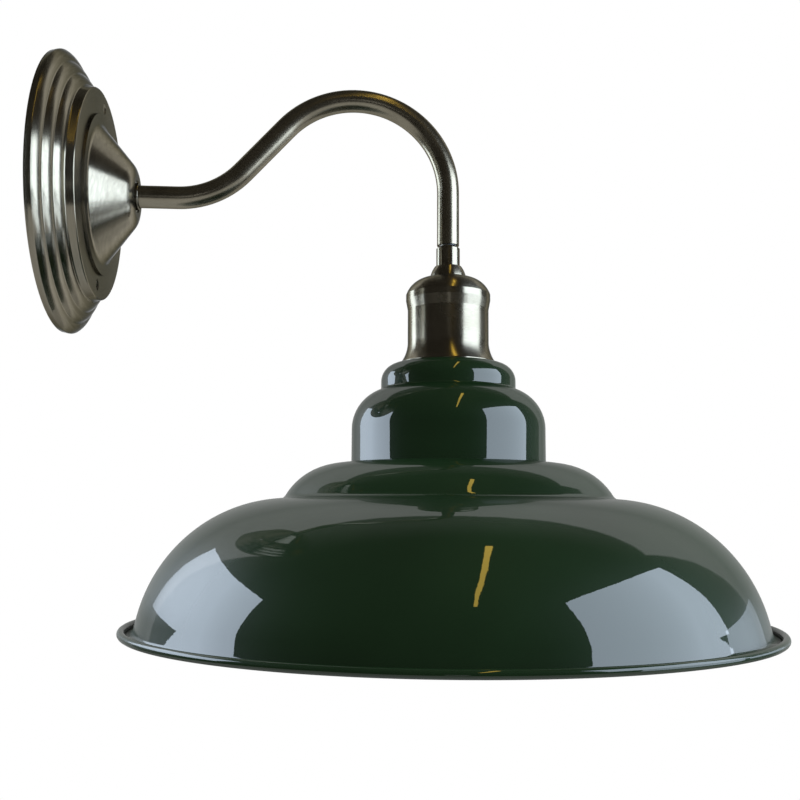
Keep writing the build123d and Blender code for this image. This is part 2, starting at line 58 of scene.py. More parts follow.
def spun_nickel(name, centre, axis, roughness=0.21, ring_pull=0.8):
    """Satin nickel with brushed rings round an axis through centre."""
    mat = bpy.data.materials.new(name)
    mat.use_nodes = True
    nodes = mat.node_tree.nodes
    link = mat.node_tree.links.new
    metal = nodes["Principled BSDF"]
    metal.inputs["Metallic"].default_value = 1.0
    metal.inputs["Specular Tint"].default_value = dulled_edge
    metal.inputs["Anisotropic"].default_value = ring_pull
    metal.inputs["Anisotropic Rotation"].default_value = 0.25
    lie = nodes.new("ShaderNodeTangent")
    lie.direction_type = "RADIAL"
    lie.axis = "Z" if axis[2] else "X"
    link(lie.outputs["Tangent"], metal.inputs["Tangent"])

    # One brushed ring has one height along the axis and one distance from it.
    place = nodes.new("ShaderNodeTexCoord")
    centred = nodes.new("ShaderNodeVectorMath")
    centred.operation = "SUBTRACT"
    centred.inputs[1].default_value = centre
    link(place.outputs["Object"], centred.inputs[0])
    height = nodes.new("ShaderNodeVectorMath")
    height.operation = "DOT_PRODUCT"
    height.inputs[1].default_value = axis
    link(centred.outputs["Vector"], height.inputs[0])
    round_it = nodes.new("ShaderNodeVectorMath")
    round_it.operation = "CROSS_PRODUCT"
    round_it.inputs[1].default_value = axis
    link(centred.outputs["Vector"], round_it.inputs[0])
    away = nodes.new("ShaderNodeVectorMath")
    away.operation = "LENGTH"
    link(round_it.outputs["Vector"], away.inputs[0])
    ring = nodes.new("ShaderNodeMath")
    link(height.outputs["Value"], ring.inputs[0])
    link(away.outputs["Value"], ring.inputs[1])

    # Along a ring the scratches run on for a few millimetres, across it for a fraction.
    heading = nodes.new("ShaderNodeVectorMath")
    heading.operation = "NORMALIZE"
    link(round_it.outputs["Vector"], heading.inputs[0])
    run = nodes.new("ShaderNodeVectorMath")
    run.operation = "SCALE"
    run.inputs["Scale"].default_value = 0.003
    link(heading.outputs["Vector"], run.inputs[0])
    brushed = nodes.new("ShaderNodeVectorMath")
    link(run.outputs["Vector"], brushed.inputs[0])
    link(ring.outputs["Value"], brushed.inputs[1])
    scratch = nodes.new("ShaderNodeTexNoise")
    scratch.inputs["Scale"].default_value = 2200
    scratch.inputs["Detail"].default_value = 4
    scratch.inputs["Roughness"].default_value = 0.7
    link(brushed.outputs["Vector"], scratch.inputs["Vector"])

    # Handling leaves wide, faint patches that are duller and browner than the rest.
    patch = nodes.new("ShaderNodeTexNoise")
    patch.inputs["Scale"].default_value = 48
    patch.inputs["Detail"].default_value = 5
    link(place.outputs["Object"], patch.inputs["Vector"])
    plating = nodes.new("ShaderNodeValToRGB")
    plating.color_ramp.elements[0].position = 0.3
    plating.color_ramp.elements[0].color = (0.262, 0.245, 0.2, 1)
    plating.color_ramp.elements[1].position = 0.7
    plating.color_ramp.elements[1].color = (0.345, 0.322, 0.264, 1)
    link(scratch.outputs["Fac"], plating.inputs["Fac"])
    worn = nodes.new("ShaderNodeMix")
    worn.data_type = "RGBA"
    worn.blend_type = "MULTIPLY"
    worn.inputs["B"].default_value = (0.88, 0.85, 0.78, 1)
    link(patch.outputs["Fac"], worn.inputs["Factor"])
    link(plating.outputs["Color"], worn.inputs["A"])
    link(worn.outputs["Result"], metal.inputs["Base Color"])
    dull = nodes.new("ShaderNodeMapRange")
    dull.inputs["From Min"].default_value = 0.3
    dull.inputs["From Max"].default_value = 0.7
    dull.inputs["To Min"].default_value = roughness - 0.04
    dull.inputs["To Max"].default_value = roughness + 0.05
    link(patch.outputs["Fac"], dull.inputs["Value"])
    link(dull.outputs["Result"], metal.inputs["Roughness"])
    cut = nodes.new("ShaderNodeBump")
    cut.inputs["Strength"].default_value = 0.25
    cut.inputs["Distance"].default_value = 0.00003
    link(scratch.outputs["Fac"], cut.inputs["Height"])
    link(cut.outputs["Normal"], metal.inputs["Normal"])
    return mat


def dress(mat, *names):
    """Give finished solids of the frame the finish of the real pieces."""
    for name in names:
        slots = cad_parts[name].data.materials
        slots.clear()
        slots.append(mat)


dress(spun_nickel("rose nickel", (0, 0, 0), (1, 0, 0)), "wall_rose")

# ---------------------------------------------------------------- fixing in the nose
# A washer, a toothed washer and a hexagon nut hold the threaded nipple of the arm in
# the nose of the rose. All are steel with a bright, slightly yellow zinc plating.


def plated_zinc():
    """Zinc-plated steel with the faint rainbow mottling of the passivation."""
    mat = bpy.data.materials.new("zinc plate")
    mat.use_nodes = True
    nodes = mat.node_tree.nodes
    link = mat.node_tree.links.new
    metal = nodes["Principled BSDF"]
    metal.inputs["Metallic"].default_value = 1.0
    place = nodes.new("ShaderNodeTexCoord")
    mottle = nodes.new("ShaderNodeTexNoise")
    mottle.inputs["Scale"].default_value = 260
    mottle.inputs["Detail"].default_value = 5
    mottle.inputs["Distortion"].default_value = 0.6
    link(place.outputs["Object"], mottle.inputs["Vector"])
    tint = nodes.new("ShaderNodeValToRGB")
    tint.color_ramp.elements[0].position = 0.36
    tint.color_ramp.elements[0].color = (0.45, 0.50, 0.56, 1)
    tint.color_ramp.elements[1].position = 0.64
    tint.color_ramp.elements[1].color = (0.62, 0.58, 0.46, 1)
    grey = tint.color_ramp.elements.new(0.5)
    grey.color = (0.55, 0.56, 0.55, 1)
    link(mottle.outputs["Fac"], tint.inputs["Fac"])
    link(tint.outputs["Color"], metal.inputs["Base Color"])
    dull = nodes.new("ShaderNodeMapRange")
    dull.inputs["To Min"].default_value = 0.22
    dull.inputs["To Max"].default_value = 0.46
    link(mottle.outputs["Fac"], dull.inputs["Value"])
    link(dull.outputs["Result"], metal.inputs["Roughness"])
    pits = nodes.new("ShaderNodeBump")
    pits.inputs["Strength"].default_value = 0.3
    pits.inputs["Distance"].default_value = 0.00002
    link(mottle.outputs["Fac"], pits.inputs["Height"])
    link(pits.outputs["Normal"], metal.inputs["Normal"])
    return mat


def make_piece(name, bm, stands_for, slot, *mats, crease=40, body="fixture"):
    """Turn a finished bmesh into the piece that stands for nodes of the frame."""
    mesh = bpy.data.meshes.new(name)
    bm.to_mesh(mesh)
    bm.free()
    mesh.shade_smooth()
    mesh.set_sharp_from_angle(angle=math.radians(crease))
    for mat in mats:
        mesh.materials.append(mat)
    piece = bpy.data.objects.new(name, mesh)
    bpy.context.scene.collection.objects.link(piece)
    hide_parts(stands_for)
    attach(piece, body)
    return piece


def stand_at(bm, place, axis):
    """Turn what was made along Z to an axis and move it to its place."""
    turn = Vector((0, 0, 1)).rotation_difference(Vector(axis)).to_matrix().to_4x4()
    bmesh.ops.transform(bm, matrix=Matrix.Translation(place) @ turn, verts=bm.verts[:])


def hex_nut(name, place, axis, height, stands_for):
    """Hexagon nut 14 mm across its flats, with chamfered corners and a plain round bore."""
    bm = bmesh.new()
    bore_radius = 0.005
    half_flat = 0.007
    bmesh.ops.create_circle(bm, segments=6, radius=half_flat / math.cos(math.pi / 6))
    outline = bm.edges[:]
    bmesh.ops.subdivide_edges(bm, edges=outline, cuts=7)
    outline = bm.edges[:]
    hole = bmesh.ops.create_circle(bm, segments=48, radius=bore_radius)
    inner = list({edge for vert in hole["verts"] for edge in vert.link_edges})
    bmesh.ops.bridge_loops(bm, edges=outline + inner)
    face = bmesh.ops.extrude_face_region(bm, geom=bm.faces[:])
    raised = [part for part in face["geom"] if isinstance(part, bmesh.types.BMVert)]
    bmesh.ops.translate(bm, verts=raised, vec=(0, 0, height))
    bmesh.ops.recalc_face_normals(bm, faces=bm.faces[:])
    # The chamfer takes the corners down at a slant outside a circle on each face.
    chamfer = math.radians(35)
    for vert in bm.verts:
        beyond = vert.co.xy.length - half_flat
        if beyond > 0:
            drop = beyond * math.tan(chamfer)
            vert.co.z += drop if vert.co.z < height / 2 else -drop
    stand_at(bm, place, axis)
    return make_piece(name, bm, stands_for, "zinc_steel", zinc, crease=25)


def threaded_nipple(name, place, axis, length, stands_for):
    """Hollow M10 x 1 nipple: a tube with a sharp thread wound round it."""
    bm = bmesh.new()
    bore_radius, root_radius, crest_radius, pitch = 0.0038, 0.0045, 0.005, 0.001
    steps = 32
    wall = [
        bm.verts.new((radius, 0, height))
        for radius, height in (
            (bore_radius, 0), (root_radius, 0), (root_radius, length), (bore_radius, length)
        )
    ]
    rim = [bm.edges.new((wall[k - 1], wall[k])) for k in range(4)]
    bmesh.ops.spin(
        bm, geom=wall + rim, axis=(0, 0, 1), angle=math.tau, steps=steps, use_merge=True
    )
    turns = int(length / pitch) - 1
    tooth = bm.faces.new(
        [
            bm.verts.new((crest_radius, 0, pitch * 0.5)),
            bm.verts.new((root_radius - 0.0001, 0, pitch * 0.95)),
            bm.verts.new((root_radius - 0.0001, 0, pitch * 0.05)),
        ]
    )
    bmesh.ops.spin(
        bm,
        geom=[tooth, *tooth.edges, *tooth.verts],
        axis=(0, 0, 1),
        dvec=(0, 0, pitch / steps),
        angle=math.tau * turns,
        steps=steps * turns,
    )
    bmesh.ops.recalc_face_normals(bm, faces=bm.faces[:])
    stand_at(bm, place, axis)
    return make_piece(name, bm, stands_for, "zinc_steel", zinc, crease=30)


zinc = plated_zinc()
dress(zinc, "root_washer", "lock_washer")
nut_low, nut_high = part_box("root_nut")
hex_nut("rose_nut", (nut_low.x, 0, 0), (1, 0, 0), nut_high.x - nut_low.x, "root_nut")
nipple_low, nipple_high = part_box("root_nipple")
nipple_length = nipple_high.x - nipple_low.x
threaded_nipple("rose_nipple", (nipple_low.x, 0, 0), (1, 0, 0), nipple_length, "root_nipple")

# ---------------------------------------------------------------- arm
# The arm is drawn steel tube, bent over two formers, polished along its length and
# plated with the rose. A turned ferrule seats it in the nose.


def drawn_nickel(name, roughness):
    """Satin nickel over polished tube, with soft cloudy marks instead of rings."""
    mat = bpy.data.materials.new(name)
    mat.use_nodes = True
    nodes = mat.node_tree.nodes
    link = mat.node_tree.links.new
    metal = nodes["Principled BSDF"]
    metal.inputs["Metallic"].default_value = 1.0
    metal.inputs["Specular Tint"].default_value = dulled_edge
    place = nodes.new("ShaderNodeTexCoord")
    cloud = nodes.new("ShaderNodeTexNoise")
    cloud.inputs["Scale"].default_value = 90
    cloud.inputs["Detail"].default_value = 6
    link(place.outputs["Object"], cloud.inputs["Vector"])
    grain = nodes.new("ShaderNodeTexNoise")
    grain.inputs["Scale"].default_value = 1500
    grain.inputs["Detail"].default_value = 2
    link(place.outputs["Object"], grain.inputs["Vector"])
    plating = nodes.new("ShaderNodeValToRGB")
    plating.color_ramp.elements[0].position = 0.35
    plating.color_ramp.elements[0].color = (0.28, 0.255, 0.196, 1)
    plating.color_ramp.elements[1].position = 0.65
    plating.color_ramp.elements[1].color = (0.325, 0.298, 0.23, 1)
    link(cloud.outputs["Fac"], plating.inputs["Fac"])
    link(plating.outputs["Color"], metal.inputs["Base Color"])
    dull = nodes.new("ShaderNodeMapRange")
    dull.inputs["From Min"].default_value = 0.3
    dull.inputs["From Max"].default_value = 0.7
    dull.inputs["To Min"].default_value = roughness - 0.015
    dull.inputs["To Max"].default_value = roughness + 0.02
    link(cloud.outputs["Fac"], dull.inputs["Value"])
    link(dull.outputs["Result"], metal.inputs["Roughness"])
    tooth = nodes.new("ShaderNodeBump")
    tooth.inputs["Strength"].default_value = 0.04
    tooth.inputs["Distance"].default_value = 0.00002
    link(grain.outputs["Fac"], tooth.inputs["Height"])
    link(tooth.outputs["Normal"], metal.inputs["Normal"])
    return mat


dress(drawn_nickel("arm nickel", 0.25), "arm_tube")
dress(spun_nickel("turned nickel", (0, 0, 0), (1, 0, 0), 0.18, 0.4), "root_ferrule")

# ---------------------------------------------------------------- lampholder cover
# Collar, cap, dome and lower cover are turned or spun round the lamp axis and plated
# with the arm. The lower cover slips up over the dome's lip at the seam.

shade_low, shade_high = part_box("shade")
lamp_x = (shade_low.x + shade_high.x) / 2
lamp_axis = (lamp_x, 0, 0)
cover_nickel = spun_nickel("cover nickel", lamp_axis, (0, 0, 1), 0.25, 0.78)
dress(cover_nickel, "end_collar", "bell_cap", "holder_dome", "holder_sleeve")

# ---------------------------------------------------------------- fixing in the cover
# A second nipple comes down from the arm through the dome. Its nut clamps the dome to a
# bent strap, and the strap's feet are screwed to the porcelain core.

cover_nut_low, cover_nut_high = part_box("holder_nut")
cover_nut_height = cover_nut_high.z - cover_nut_low.z
hex_nut("cover_nut", (lamp_x, 0, cover_nut_low.z), (0, 0, 1), cover_nut_height, "holder_nut")
down_low, down_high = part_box("holder_nipple")
down_length = down_high.z - down_low.z
threaded_nipple("cover_nipple", (lamp_x, 0, down_low.z), (0, 0, 1), down_length, "holder_nipple")
dress(zinc, "holder_bridge")


def slotted_screw(bm, place, axis, shank_radius, shank_length, head_radius, head_height):
    """Cheese-head screw that stands on place: a shank below it and a slotted head."""
    screw = bmesh.new()
    bmesh.ops.create_cone(
        screw,
        cap_ends=True,
        segments=24,
        radius1=shank_radius,
        radius2=shank_radius,
        depth=shank_length,
        matrix=Matrix.Translation((0, 0, -shank_length / 2)),
    )
    slot_depth = head_height * 0.45
    half_slot = head_radius * 0.16
    under_slot = head_height - slot_depth
    bmesh.ops.create_cone(
        screw,
        cap_ends=True,
        segments=40,
        radius1=head_radius,
        radius2=head_radius,
        depth=under_slot,
        matrix=Matrix.Translation((0, 0, under_slot / 2)),
    )
    # Each half of the head's top is a round slice, cut back to its side of the slot.
    for side in (1, -1):
        half = bmesh.new()
        bmesh.ops.create_cone(
            half,
            cap_ends=True,
            segments=40,
            radius1=head_radius,
            radius2=head_radius,
            depth=slot_depth,
            matrix=Matrix.Translation((0, 0, head_height - slot_depth / 2)),
        )
        top_rim = [edge for edge in half.edges if min(v.co.z for v in edge.verts) > under_slot + 1e-6]
        bmesh.ops.bevel(
            half,
            geom=top_rim,
            offset=head_height * 0.14,
            segments=3,
            profile=0.5,
            affect="EDGES",
            material=-1,
        )
        cut = bmesh.ops.bisect_plane(
            half,
            geom=half.verts[:] + half.edges[:] + half.faces[:],
            plane_co=(0, side * half_slot, 0),
            plane_no=(0, side, 0),
            clear_inner=True,
        )
        open_edges = [part for part in cut["geom_cut"] if isinstance(part, bmesh.types.BMEdge)]
        bmesh.ops.holes_fill(half, edges=open_edges, sides=0)
        half_mesh = bpy.data.meshes.new("half head")
        half.to_mesh(half_mesh)
        half.free()
        screw.from_mesh(half_mesh)
        bpy.data.meshes.remove(half_mesh)
    bmesh.ops.recalc_face_normals(screw, faces=screw.faces[:])
    stand_at(screw, place, axis)
    screw_mesh = bpy.data.meshes.new("screw")
    screw.to_mesh(screw_mesh)
    screw.free()
    bm.from_mesh(screw_mesh)
    bpy.data.meshes.remove(screw_mesh)


screws_low, screws_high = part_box("core_screws")
core_head_radius = 0.0024
core_head_height = 0.0018
core_head_base = screws_high.z - core_head_height
bm = bmesh.new()
for screw_x in (screws_low.x + core_head_radius, screws_high.x - core_head_radius):
    place = (screw_x, 0, core_head_base)
    shank = core_head_base - screws_low.z
    slotted_screw(bm, place, (0, 0, 1), 0.0015, shank, core_head_radius, core_head_height)
make_piece("strap_screws", bm, "core_screws", "zinc_steel", zinc)

# ---------------------------------------------------------------- porcelain core
# The core is pressed and fired porcelain with a cream glaze. Two brass blocks on its top
# take the leads, each under a slotted screw.


def fired_porcelain():
    """Cream glazed porcelain with a few iron specks and a slow waviness."""
    mat = bpy.data.materials.new("porcelain")
    mat.use_nodes = True
    nodes = mat.node_tree.nodes
    link = mat.node_tree.links.new
    glaze = nodes["Principled BSDF"]
    glaze.inputs["Roughness"].default_value = 0.16
    glaze.inputs["Coat Weight"].default_value = 0.6
    glaze.inputs["Coat Roughness"].default_value = 0.05
    place = nodes.new("ShaderNodeTexCoord")
    speck = nodes.new("ShaderNodeTexVoronoi")
    speck.inputs["Scale"].default_value = 420
    link(place.outputs["Object"], speck.inputs["Vector"])
    body = nodes.new("ShaderNodeValToRGB")
    body.color_ramp.elements[0].position = 0.045
    body.color_ramp.elements[0].color = (0.34, 0.25, 0.15, 1)
    body.color_ramp.elements[1].position = 0.085
    body.color_ramp.elements[1].color = (0.80, 0.765, 0.68, 1)
    link(speck.outputs["Distance"], body.inputs["Fac"])
    link(body.outputs["Color"], glaze.inputs["Base Color"])
    flow = nodes.new("ShaderNodeTexNoise")
    flow.inputs["Scale"].default_value = 160
    link(place.outputs["Object"], flow.inputs["Vector"])
    wave = nodes.new("ShaderNodeBump")
    wave.inputs["Strength"].default_value = 0.2
    wave.inputs["Distance"].default_value = 0.0002
    link(flow.outputs["Fac"], wave.inputs["Height"])
    link(wave.outputs["Normal"], glaze.inputs["Normal"])
    return mat


def plain_brass():
    """Pressed brass, gone a little brown where it has been touched."""
    mat = bpy.data.materials.new("contact brass")
    mat.use_nodes = True
    nodes = mat.node_tree.nodes
    link = mat.node_tree.links.new
    metal = nodes["Principled BSDF"]
    metal.inputs["Metallic"].default_value = 1.0
    place = nodes.new("ShaderNodeTexCoord")
    stain = nodes.new("ShaderNodeTexNoise")
    stain.inputs["Scale"].default_value = 210
    stain.inputs["Detail"].default_value = 6
    link(place.outputs["Object"], stain.inputs["Vector"])
    tint = nodes.new("ShaderNodeValToRGB")
    tint.color_ramp.elements[0].position = 0.38
    tint.color_ramp.elements[0].color = (0.42, 0.25, 0.085, 1)
    tint.color_ramp.elements[1].position = 0.6
    tint.color_ramp.elements[1].color = (0.73, 0.53, 0.235, 1)
    link(stain.outputs["Fac"], tint.inputs["Fac"])
    link(tint.outputs["Color"], metal.inputs["Base Color"])
    dull = nodes.new("ShaderNodeMapRange")
    dull.inputs["To Min"].default_value = 0.42
    dull.inputs["To Max"].default_value = 0.18
    link(stain.outputs["Fac"], dull.inputs["Value"])
    link(dull.outputs["Result"], metal.inputs["Roughness"])
    return mat


brass = plain_brass()
dress(fired_porcelain(), "holder_core")
dress(brass, "lead_terminals", "contact_foot", "centre_contact")
clamp_low, clamp_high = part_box("lead_screws")
clamp_head_radius = 0.0023
clamp_head_height = 0.0015
clamp_head_base = clamp_high.z - clamp_head_height
bm = bmesh.new()
for screw_y in (clamp_low.y + clamp_head_radius, clamp_high.y - clamp_head_radius):
    place = (lamp_x, screw_y, clamp_head_base)
    shank = clamp_head_base - clamp_low.z
    slotted_screw(bm, place, (0, 0, 1), 0.0015, shank, clamp_head_radius, clamp_head_height)
make_piece("clamp_screws", bm, "lead_screws", "zinc_steel", zinc)

# ---------------------------------------------------------------- screw shell
# The shell that takes the lamp's cap is thin brass with the round E27 thread rolled into
# it. It hangs by its flange from a ledge in the core's bore.

shell_low, shell_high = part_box("screw_shell")
shell_radius = (shell_high.x - shell_low.x) / 2
shell_sheet = 0.0004
shell_flange_radius = 0.00899
thread_pitch = 0.00363
thread_depth = 0.0008
thread_turns = 5
thread_steps = 64
bm = bmesh.new()
wave = []
for k in range(9):
    swell = math.cos(math.tau * k / 8)
    wave_radius = shell_radius - thread_depth / 2 + thread_depth / 2 * swell
    wave.append(bm.verts.new((wave_radius, 0, thread_pitch * k / 8)))
crests = [bm.edges.new(pair) for pair in zip(wave, wave[1:])]
bmesh.ops.spin(
    bm,
    geom=wave + crests,
    axis=(0, 0, 1),
    dvec=(0, 0, thread_pitch / thread_steps),
    angle=math.tau * thread_turns,
    steps=thread_steps * thread_turns,
)
bmesh.ops.remove_doubles(bm, verts=bm.verts[:], dist=1e-6)
# The wound sheet is cut off square at both ends of the shell's length.
shell_length = shell_high.z - shell_low.z
for height, keep in ((thread_pitch, -1), (thread_pitch + shell_length - shell_sheet, 1)):
    bmesh.ops.bisect_plane(
        bm,
        geom=bm.verts[:] + bm.edges[:] + bm.faces[:],
        plane_co=(0, 0, height),
        plane_no=(0, 0, keep),
        clear_outer=True,
    )
top_edges = [
    edge
    for edge in bm.edges
    if edge.is_boundary and min(v.co.z for v in edge.verts) > thread_pitch + shell_length * 0.9
]
flange = bmesh.ops.extrude_edge_only(bm, edges=top_edges)
flange_verts = [part for part in flange["geom"] if isinstance(part, bmesh.types.BMVert)]
for vert in flange_verts:
    vert.co.xy *= shell_flange_radius / vert.co.xy.length
    vert.co.z += shell_sheet
bmesh.ops.recalc_face_normals(bm, faces=bm.faces[:])
if sum(face.normal.xy.dot(face.calc_center_median().xy) for face in bm.faces) < 0:
    bmesh.ops.reverse_faces(bm, faces=bm.faces[:])
bmesh.ops.solidify(bm, geom=bm.faces[:], thickness=shell_sheet)
bmesh.ops.translate(bm, verts=bm.verts[:], vec=(lamp_x, 0, shell_low.z - thread_pitch))
make_piece("lamp_thread", bm, "screw_shell", "brass", brass, crease=60)

# ---------------------------------------------------------------- shade
# The shade is spun from sheet steel in steps, with its rim rolled over a wire, and
# stove-enamelled: bottle green outside and over the rim, white inside.


def gloss_enamel(name, deep, lit, gloss):
    """Thick glossy enamel, with a slow waviness and a fine orange peel in its coat."""
    mat = bpy.data.materials.new(name)
    mat.use_nodes = True
    nodes = mat.node_tree.nodes
    link = mat.node_tree.links.new
    paint = nodes["Principled BSDF"]
    paint.inputs["Roughness"].default_value = 0.42
    paint.inputs["Specular IOR Level"].default_value = 0.05
    paint.inputs["Coat IOR"].default_value = 1.56
    paint.inputs["Coat Roughness"].default_value = gloss
    # A film of dust takes the edge off the gloss where it is seen at a glance.
    glance = nodes.new("ShaderNodeLayerWeight")
    dusty = nodes.new("ShaderNodeMapRange")
    dusty.inputs["From Min"].default_value = 0.4
    dusty.inputs["From Max"].default_value = 0.74
    dusty.inputs["To Min"].default_value = 1.0
    dusty.inputs["To Max"].default_value = 0.13
    link(glance.outputs["Facing"], dusty.inputs["Value"])
    link(dusty.outputs["Result"], paint.inputs["Coat Weight"])
    place = nodes.new("ShaderNodeTexCoord")
    drift = nodes.new("ShaderNodeTexNoise")
    drift.inputs["Scale"].default_value = 14
    drift.inputs["Detail"].default_value = 3
    link(place.outputs["Object"], drift.inputs["Vector"])
    depth = nodes.new("ShaderNodeValToRGB")
    depth.color_ramp.elements[0].position = 0.3
    depth.color_ramp.elements[0].color = (*deep, 1)
    depth.color_ramp.elements[1].position = 0.7
    depth.color_ramp.elements[1].color = (*lit, 1)
    link(drift.outputs["Fac"], depth.inputs["Fac"])
    link(depth.outputs["Color"], paint.inputs["Base Color"])
    sag = nodes.new("ShaderNodeTexNoise")
    sag.inputs["Scale"].default_value = 55
    sag.inputs["Detail"].default_value = 1
    link(place.outputs["Object"], sag.inputs["Vector"])
    peel = nodes.new("ShaderNodeTexNoise")
    peel.inputs["Scale"].default_value = 420
    peel.inputs["Detail"].default_value = 2
    link(place.outputs["Object"], peel.inputs["Vector"])
    slow = nodes.new("ShaderNodeBump")
    slow.inputs["Strength"].default_value = 0.35
    slow.inputs["Distance"].default_value = 0.00025
    link(sag.outputs["Fac"], slow.inputs["Height"])
    fine = nodes.new("ShaderNodeBump")
    fine.inputs["Strength"].default_value = 0.25
    fine.inputs["Distance"].default_value = 0.00002
    link(peel.outputs["Fac"], fine.inputs["Height"])
    link(slow.outputs["Normal"], fine.inputs["Normal"])
    link(fine.outputs["Normal"], paint.inputs["Coat Normal"])
    link(fine.outputs["Normal"], paint.inputs["Normal"])
    return mat


def run_to(bm, end, radius, height):
    """Carry the outline on in a straight line to a radius and a height."""
    grown = bmesh.ops.extrude_vert_indiv(bm, verts=[end])["verts"][0]
    grown.co = (lamp_x + radius, 0, height)
    return grown


def turn_round(bm, end, radius, height, degrees, steps):
    """Carry the outline on along an arc round a centre."""
    swept = bmesh.ops.spin(
        bm,
        geom=[end],
        cent=(lamp_x + radius, 0, height),
        axis=(0, 1, 0),
        angle=math.radians(degrees),
        steps=steps,
    )
    return swept["geom_last"][0]


def from_up(radius, height, corner_radius, corner_height):
    """Degrees from straight up round a centre to a corner of the outline."""
    return math.degrees(math.atan2(corner_radius - radius, corner_height - height))


shade_sheet = 0.0009
shade_top = shade_high.z
neck_radius = 0.0202
tier_1 = {"radius": 0.0388, "round": 0.0101, "wall": 0.0051}
tier_2 = {"radius": 0.0555, "round": 0.0235, "wall": 0.0207}
tier_3 = {"centre": 0.061, "round": 0.0364, "foot": 0.0926}
bowl_start_radius = 0.0942
bowl_step = 0.0015
bowl_centre_radius = 0.0912
bowl_foot_radius = 0.1701
bowl_foot_slope = 13.5
bead_radius = 0.0021
spare = 0.00002
rim_radius = (shade_high.x - shade_low.x) / 2 - spare
rim_low = shade_low.z

bm = bmesh.new()
end = bm.verts.new((lamp_x + neck_radius, 0, shade_top))
first_step = tier_1["radius"] - tier_1["round"]
end = run_to(bm, end, first_step, shade_top)
end = turn_round(bm, end, first_step, shade_top - tier_1["round"], 90, 10)
crease_1 = end = run_to(bm, end, tier_1["radius"], end.co.z - tier_1["wall"])

second_step = tier_2["radius"] - tier_2["round"]
across = tier_1["radius"] - second_step
centre_z = end.co.z - math.sqrt(tier_2["round"] ** 2 - across**2)
start = from_up(second_step, centre_z, tier_1["radius"], end.co.z)
end = turn_round(bm, end, second_step, centre_z, 90 - start, 14)
crease_2 = end = run_to(bm, end, tier_2["radius"], end.co.z - tier_2["wall"])

across = tier_2["radius"] - tier_3["centre"]
centre_z = end.co.z - math.sqrt(tier_3["round"] ** 2 - across**2)
start = from_up(tier_3["centre"], centre_z, tier_2["radius"], end.co.z)
stop = math.degrees(math.asin((tier_3["foot"] - tier_3["centre"]) / tier_3["round"]))
crease_3 = end = turn_round(bm, end, tier_3["centre"], centre_z, stop - start, 14)
end = run_to(bm, end, bowl_start_radius, end.co.z - bowl_step)

bowl_round = (bowl_foot_radius - bowl_centre_radius) / math.cos(math.radians(bowl_foot_slope))
across = bowl_start_radius - bowl_centre_radius
centre_z = end.co.z - math.sqrt(bowl_round**2 - across**2)
start = from_up(bowl_centre_radius, centre_z, bowl_start_radius, end.co.z)
end = turn_round(bm, end, bowl_centre_radius, centre_z, 90 - bowl_foot_slope - start, 34)

# Below the bowl the sheet turns out through the gutter and curls round the wire.
gutter_drop = end.co.z - (rim_low + shade_sheet)
gutter_radius = bowl_foot_radius + gutter_drop * math.tan(math.radians(bowl_foot_slope))
gutter_corner = run_to(bm, end, gutter_radius, rim_low + shade_sheet)
run_to(bm, gutter_corner, rim_radius - bead_radius, rim_low + shade_sheet)

for corner, offset, segments in (
    (gutter_corner, 0.0028, 6),
    (crease_1, 0.0011, 4),
    (crease_2, 0.0011, 4),
    (crease_3, 0.0005, 2),
):
    bmesh.ops.bevel(
        bm,
        geom=[corner],
        offset=offset,
        segments=segments,
        profile=0.5,
        affect="VERTICES",
        material=-1,
    )
shade_turn = dict(cent=lamp_axis, axis=(0, 0, 1), angle=math.tau, steps=192, use_merge=True)
bmesh.ops.spin(bm, geom=bm.verts[:] + bm.edges[:], **shade_turn)
bmesh.ops.remove_doubles(bm, verts=bm.verts[:], dist=1e-6)
bmesh.ops.recalc_face_normals(bm, faces=bm.faces[:])
if sum(face.normal.z * face.calc_area() for face in bm.faces) < 0:
    bmesh.ops.reverse_faces(bm, faces=bm.faces[:])
outside = set(bm.faces)
bmesh.ops.solidify(bm, geom=bm.faces[:], thickness=shade_sheet)
green_border = 0.0045
white_reach = rim_radius - green_border
for face in bm.faces:
    middle = face.calc_center_median()
    if face not in outside and math.hypot(middle.x - lamp_x, middle.y) < white_reach:
        face.material_index = 1

# The rolled bead is a closed ring round its wire.
bead_steps = 16
bead = [
    bm.verts.new(
        (
            lamp_x + rim_radius - bead_radius + bead_radius * math.cos(math.tau * k / bead_steps),
            0,
            rim_low + bead_radius + bead_radius * math.sin(math.tau * k / bead_steps),
        )
    )
    for k in range(bead_steps)
]
bead_ring = [bm.edges.new((bead[k - 1], bead[k])) for k in range(bead_steps)]
bmesh.ops.spin(bm, geom=bead + bead_ring, **shade_turn)
bmesh.ops.remove_doubles(bm, verts=bm.verts[:], dist=1e-7)
bmesh.ops.recalc_face_normals(bm, faces=bm.faces[:])
green = gloss_enamel("bottle green enamel", (0.0045, 0.0145, 0.0045), (0.0065, 0.02, 0.0068), 0.02)
white = gloss_enamel("white enamel", (0.76, 0.755, 0.72), (0.82, 0.815, 0.79), 0.05)
make_piece("enamelled_shade", bm, "shade", "green_enamel", green, white, body="shade")

# ---------------------------------------------------------------- shade ring
# The notched ring screws up the core's thread and clamps the shade to the cover. It is
# turned steel, plated with the cover.

dress(cover_nickel, "shade_ring")

# ---------------------------------------------------------------- terminal block
# The supply joins the three leads in a nylon block on the back of the rose. Each way is
# a brass tube with two grub screws.


